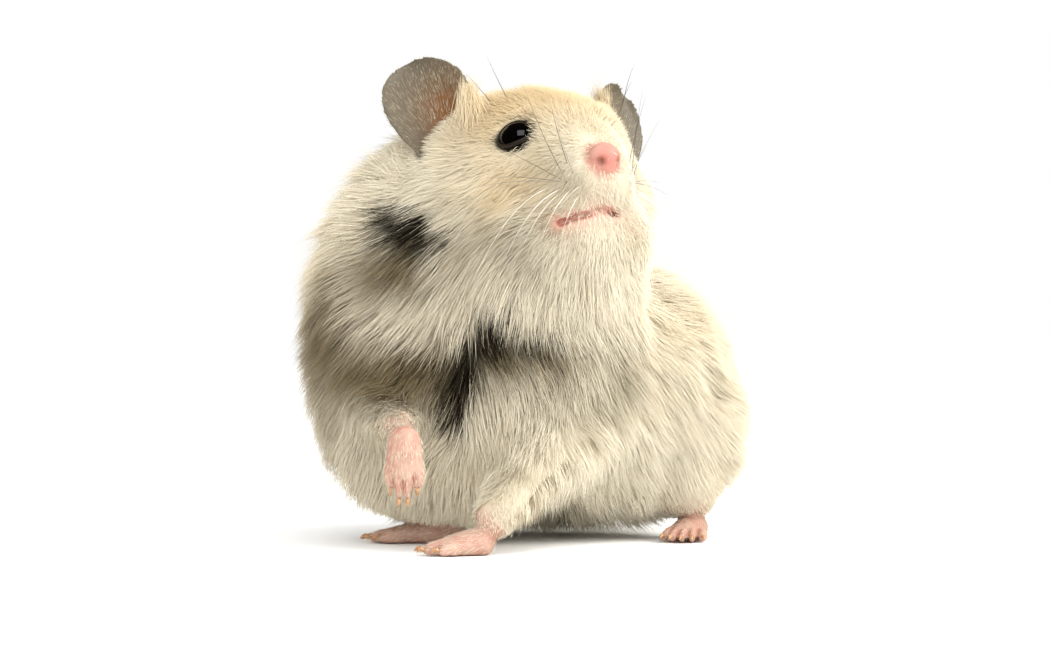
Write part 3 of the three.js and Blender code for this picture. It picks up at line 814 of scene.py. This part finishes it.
def coat_piece(name, start, ways, n, own, width, steps, girth, patch, tone, slot, marks=None):
    """Hairs along start + own length (t way + t^2 / 2 bend), with their marks, patch and tone."""
    count, rings = len(start), len(steps)
    bend = -n * (0.55 * (ways * n).sum(1, keepdims=True)) + np.array([0, 0, -0.12])
    stops = [start - n * ROOTED]
    stops += [start + own[:, None] * (t * ways + 0.5 * t * t * bend) for t in (*steps, 1.0)]
    points, faces = spindles(np.stack(stops, 1), n, width, girth)
    made = mesh_object(name, points, faces, fur, smooth=False)
    per = 3 * rings + 2
    along = np.concatenate([[0.0], np.repeat(steps, 3), [1.0]])
    beside = np.concatenate([[0.0], np.tile([-0.5, 0.0, 0.5], rings), [0.0]])
    square = np.stack([np.tile(beside, (count, 1)), np.tile(along - 0.5, (count, 1))], 2)
    spots = patch[:, None, :] + PATCH * square
    layer = made.data.uv_layers.new(name="OFBake")
    layer.data.foreach_set("uv", spots.reshape(-1, 2)[faces.ravel()].astype(np.float32).ravel())
    if marks is None:
        scatter = np.random.default_rng(6).normal(0, MARK_SCATTER, start.shape)
        marks = markings(start + 0.5 * own[:, None] * ways + scatter)
    single = np.random.default_rng(5).random(count)
    paint(made.data, "marks", [np.repeat(m, per) for m in marks])
    paint(made.data, "strand", [np.repeat(tone, per), np.tile(along, count), np.repeat(single, per)])
    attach(made, "root")


# Soft keratin hair: pale and slightly glossy, greyer at the root where the underfur shows,
# with a few darker hairs among the cream that give the coat its grain.
fur, shader = material("soft_fur")
tone, along, single = channels(fur, "strand")
underfur = put(fur, "ShaderNodeMapRange", {"Value": along, "From Max": 0.5, "To Min": 0.3, "To Max": 0.0})
base = coat_colour(fur, underfur.outputs["Result"])
shade = put(fur, "ShaderNodeMapRange", {"Value": tone, "From Min": 0.3, "To Min": 0.0, "To Max": 0.1})
ticked = put(fur, "ShaderNodeMapRange", {"Value": single, "From Min": 0.93, "From Max": 0.96, "To Max": 0.2})
colour = layered(fur, base, [(shade.outputs["Result"], "#A89A7E"), (ticked.outputs["Result"], "#6B5F4B")])
put(fur, shader, {"Base Color": colour, "Roughness": 0.8, "Specular IOR Level": 0.06})

rng = np.random.default_rng(7)
corner = skin_points[skin_faces]
area = np.linalg.norm(np.cross(corner[:, 1] - corner[:, 0], corner[:, 2] - corner[:, 0]), axis=1) / 2
centre = corner.mean(1)
gaps = {key: gap[skin_faces].mean(1)
        for key, gap in dict(foot=foot_gap, nose=nose_gap, lip=lip_gap, ear=ear_gap).items()}
eye_gap = np.minimum(*(np.linalg.norm(centre - eye_at[s], axis=1) for s in SIDES))
chance = area * (1 + 1.6 * ease(-skin_depth[skin_faces].mean(1), -COAT_DEPTH, -1 * MM))
NO_HAIR = dict(nose=0.7 * MM, foot=0.6 * MM, ear=0.6 * MM, lip=1.4 * MM)
for part, gap in NO_HAIR.items():
    chance[gaps[part] < gap] = 0
chance[eye_gap < 3.75 * MM] = 0


def sample(odds, tufts):
    """Roots of locks, spread over the skin by the odds: their places, normals, places on the unwrap, and
    depths of coat."""
    pick = rng.choice(len(centre), tufts, p=odds / odds.sum())
    share = rng.dirichlet((1, 1, 1), tufts)[:, :, None]
    return ((corner[pick] * share).sum(1), unit((skin_normals[skin_faces[pick]] * share).sum(1)),
            (skin_uv[pick] * share).sum(1), (skin_depth[skin_faces[pick]] * share[..., 0]).sum(1))


LOCK_SPREAD = 0.95 * MM          # how far a lock's hairs start from its middle


def grow(name, odds, tufts, per, steps, girth, lift_mean, fineness):
    """Locks of hairs: a lock's hairs run from round its root to round its tip, each with its own length."""
    root, normal, patch, depth = sample(odds, tufts)
    length = hair_length(root, depth)
    way = comb(root, normal)
    way = unit(way + rng.normal(0, 0.08, (tufts, 1)) * np.cross(normal, way))
    lie = lift_mean * (0.6 + 0.4 * depth / COAT_DEPTH) * (1 + 0.15 * ripple(root, 3.5, 22))
    lift = np.radians(np.clip(rng.normal(lie, 5)[:, None], 10, 75))
    tip = root + length[:, None] * (np.cos(lift) * way + 0.85 * np.sin(lift) * normal)
    many = np.repeat(np.arange(tufts), per)
    n, w = normal[many], way[many]
    offset = rng.normal(0, LOCK_SPREAD, (len(many), 2))
    start = root[many] + offset[:, :1] * w + offset[:, 1:] * np.cross(n, w)
    end = tip[many] + (start - root[many]) * 0.62 + rng.normal(0, 0.045, (len(many), 3)) * length[many, None]
    own = np.linalg.norm(end - start, axis=1) * rng.uniform(0.7, 1.1, len(many))
    ways = unit(unit(end - start) + 0.28 * n)
    width = (fineness + 0.004 * own / MM) * MM * rng.uniform(0.8, 1.2, len(many))
    coat_piece(name, start, ways, n, own, width, steps, girth, patch[many], rng.random(tufts)[many], "coat")


# A kind of hair: where along it its rings lie, and how thick it is at each.
SHORT, LONG = ((0.42,), (1.0,)), ((0.3, 0.68), (1.0, 0.72))
FACE, HEAD, RUFF, CHEST, FLANKS, RUMP, BELLY = range(7)
HEAD_ROUND = 27 * MM
on_head = np.linalg.norm(centre - head_at, axis=1) < HEAD_ROUND
region = np.full(len(centre), FLANKS)
region[centre[:, 1] > 14 * MM] = RUMP
region[centre[:, 2] < 16 * MM] = BELLY
region[(centre[:, 1] < -12 * MM) & (centre[:, 2] >= 16 * MM)] = CHEST
region[(centre[:, 2] > 38 * MM) & (centre[:, 1] < 0)] = RUFF
region[on_head] = HEAD           # and the front of the head is the face
region[on_head & ((centre - head_at) @ forward > 6 * MM)] = FACE
HAIRS_IN_LOCK = 6
# Each region in that order: its name, its kind of hair, its locks, the hair's lift in degrees and its
# width in mm.
for index, (name, form, tufts, lift, fine) in enumerate([
        ("coat_face", SHORT, 4600, 32, 0.096), ("coat_head", SHORT, 4700, 36, 0.096),
        ("coat_ruff", LONG, 2350, 38, 0.108), ("coat_chest", LONG, 2350, 36, 0.108),
        ("coat_flanks", SHORT, 4700, 34, 0.112), ("coat_rump", SHORT, 4700, 34, 0.112),
        ("coat_belly", SHORT, 3600, 32, 0.127)]):
    grow(name, np.where(region == index, chance, 0), tufts, HAIRS_IN_LOCK, *form, lift, fine)

# --- Down on ears and feet -----------------------------------------------------------
# Short pale hairs that lie thinly over the bare grey ears and the pink feet. Those of the
# ears run out to the rim, and those of the feet run towards the toes.

root, normal, patch, _ = sample(area * (gaps["ear"] < 0.6 * MM), 4600)
left_ear = ((root - nose_at) @ across > 0)[:, None]
way = unit(root - np.where(left_ear, spot("ear_left", 0.5, 0.5, 0.0), spot("ear_right", 0.7, 0.3, 0.1)))
way = unit(way + rng.normal(0, 0.10, way.shape))
way = unit(way - (way * normal).sum(1, keepdims=True) * normal + 0.10 * normal)
ear_middle = np.where(left_ear, middle("ear_left"), middle("ear_right"))
rim = ease(np.linalg.norm(root - ear_middle, axis=1), 6 * MM, 10 * MM)
own = rng.uniform(1.4, 2.8, len(root)) * (1 - 0.7 * rim) * MM
tint = rng.random((3, len(root))) * np.array([[0.7], [0.4], [0.3]]) + np.array([[0.0], [0.35], [0.1]])
tint[0] *= tint[0]
coat_piece("ear_down", root, way, normal, own, np.full(len(root), 0.075 * MM), *SHORT, patch,
           rng.random(len(root)), "ear", tint)
root, normal, patch, _ = sample(area * (gaps["foot"] < 1.2 * MM) * (centre[:, 2] > 0.8 * MM), 4200)
owner = np.argmin([np.linalg.norm(root - middle(foot), axis=1) for foot in FEET], axis=0)
toes_way = np.array([-sum(claw_line(f"claw_{foot}_{k + 1}")[1] for k in range(CLAWS[foot[:4]]))
                     for foot in FEET])
way = unit(unit(toes_way)[owner] + rng.normal(0, 0.12, root.shape))
way = unit(way - (way * normal).sum(1, keepdims=True) * normal + 0.22 * normal)
own = rng.uniform(0.9, 2.0, len(root)) * MM
coat_piece("foot_down", root, way, normal, own, np.full(len(root), 0.065 * MM), *SHORT, patch,
           0.3 * rng.random(len(root)), "bare_skin")

# --- Locks before the ears -----------------------------------------------------------
# A tuft of long cream hair that stands up before the root of each ear and laps over the
# ear's front edge.

LOCK_RISE = 8.5 * MM
odds = area * (gaps["ear"] > 0.8 * MM) * bell(apart(centre, quiffs), 2.6 * MM)
root, normal, patch, _ = sample(odds, 1100)
left_lock = ((root - nose_at) @ across > 0)[:, None]
peak = np.where(left_lock, quiffs[1], quiffs[0]) + np.array([0, 0, LOCK_RISE])
way = peak + rng.normal(0, 1.1 * MM, root.shape) - root
own = np.linalg.norm(way, axis=1) * rng.uniform(0.6, 1.15, len(root))
way = unit(way)
coat_piece("coat_ear_locks", root, way, normal, own, np.full(len(root), 0.13 * MM), *LONG, patch,
           0.4 * rng.random(len(root)), "coat")

# --- Whiskers ------------------------------------------------------------------------
# Stiff tapering hairs in rows on the muzzle and two over each eye: dark brown ones that
# sweep up and back, and white ones that arch out and down.

# Stiff keratin: dark or almost white by the hair, with a narrow shine along it.
whisker_hair, shader = material("whisker_hair")
tint = channels(whisker_hair, "strand")[0]
colour = layered(whisker_hair, linear("#FBF6EC"), [(tint, "#3A3026")])
put(whisker_hair, shader, {"Base Color": colour, "Roughness": 0.35})
WHISKER_WIDTH = 0.13 * MM
# Each whisker: its root as shares of the head's box, its length in mm, how far it points
# out, forward and up, how much it then bends down, and how dark it is.
WHISKERS = [
    ((0.80, 0.07, 0.56), 17, (0.35, -0.45, 1), -0.1, 1), ((0.82, 0.08, 0.58), 14, (0.3, -0.15, 1), 0, 1),
    ((0.78, 0.07, 0.53), 17, (0.7, -0.9, 0.6), 0.15, 1), ((0.79, 0.07, 0.5), 15, (0.9, -0.8, 0.2), 0.25, 0.9),
    ((0.76, 0.07, 0.5), 16, (0.9, -0.7, 0.05), 0.3, 0.8),
    ((0.84, 0.08, 0.52), 12, (0.5, 0.1, 0.9), -0.2, 0.7),
    ((0.77, 0.07, 0.47), 18, (0.9, -0.1, -0.3), 1.5, 0), ((0.80, 0.07, 0.46), 15, (0.9, 0.1, -0.3), 1.3, 0),
    ((0.83, 0.08, 0.46), 11, (0.8, 0.2, -0.5), 1, 0), ((0.79, 0.07, 0.43), 10, (0.8, 0, -0.6), 0.8, 0),
    ((0.85, 0.10, 0.44), 9, (0.7, 0.3, -0.6), 0.7, 0), ((0.86, 0.10, 0.48), 10, (0.8, 0.4, -0.2), 0.6, 0.2),
    ((0.63, 0.14, 0.90), 9, (0.4, -0.3, 1), 0.2, 1), ((0.58, 0.16, 0.88), 8, (0.6, -0.5, 0.9), 0.2, 1)]
WHISKER_STEPS = 9
t = np.linspace(0, 1, WHISKER_STEPS)[:, None]
paths, darks = [], []
for share, long, (out_way, ahead, up), droop, dark in WHISKERS:
    start = spot("head", *share)
    way = unit(-across * out_way + forward * ahead + np.array([0, 0, up]))
    path = start + long * MM * (t * way + 0.5 * t * t * (np.array([0, 0, -droop]) + 0.25 * forward))
    paths += [path, mirrored(path)]
    darks += [dark, dark]
paths, darks = np.array(paths), np.array(darks, float)
paths[:, 0] += 2 * (paths[:, 0] - paths[:, 1])         # the root reaches down into the muzzle
girth = np.linspace(1.0, 0.25, WHISKER_STEPS - 2)
widths = np.full(len(paths), WHISKER_WIDTH)
points, faces = spindles(paths, np.tile(across, (len(paths), 1)), widths, girth, flat=1.0)
made = mesh_object("whiskers", points, faces, whisker_hair)
paint(made.data, "strand", [np.repeat(darks, len(points) // len(paths))] * 3)
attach(made, "root")

low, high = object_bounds()
